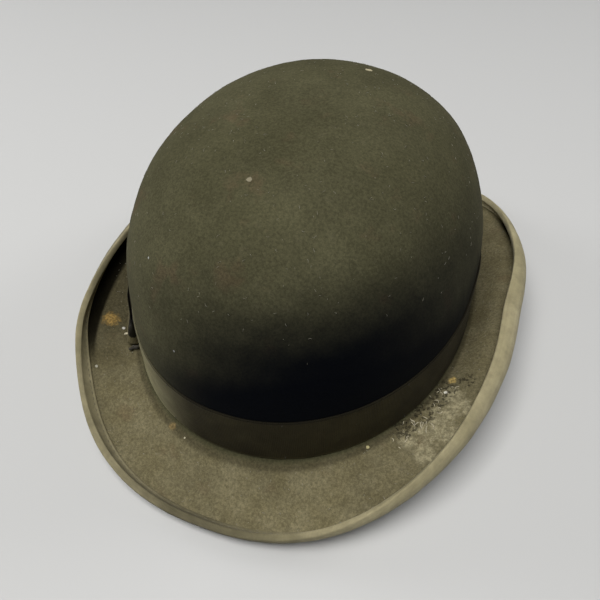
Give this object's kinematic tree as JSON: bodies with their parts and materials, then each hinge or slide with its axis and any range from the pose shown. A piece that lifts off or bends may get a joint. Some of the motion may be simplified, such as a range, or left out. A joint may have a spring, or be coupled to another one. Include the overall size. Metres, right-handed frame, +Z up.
{
  "type": "bowler hat",
  "caption": "Worn brown hard-felt bowler hat with a domed crown, curled and bound brim, grosgrain hatband with a flat bow, leather sweatband and lining.",
  "frame": {"origin": "centre of the bounding box at the surface that the brim rests on", "axes": "+Y towards the back of the hat, so the front is -Y; +X towards the wearer's left, the side with the bow; +Z up"},
  "size_m": [0.215, 0.272, 0.1244],
  "materials": {
    "felt": "matt, worn",
    "band_ribbon": "ribbed, slight sheen",
    "binding_ribbon": "ribbed, slight sheen",
    "dark_thread": "matt",
    "light_thread": "matt",
    "sweat_leather": "worn, satin",
    "reed": "smooth",
    "reed_tape": "waxed",
    "lining_satin": "satin sheen, aged"
  },
  "bodies": {
    "root": {"felt_body": "felt", "hatband_ribbon": "band_ribbon", "hatband_tacks": "dark_thread", "bow_ribbon": "band_ribbon", "bow_knot": "band_ribbon", "bow_tacks": "dark_thread", "brim_binding": "binding_ribbon", "binding_stitches": "dark_thread", "sweatband": "sweat_leather", "sweatband_reed": "reed", "reed_tape": "reed_tape", "sweatband_stitches": "light_thread", "sweatband_bow": "band_ribbon", "lining_sides": "lining_satin", "lining_tip": "lining_satin"}
  },
  "joints": []
}
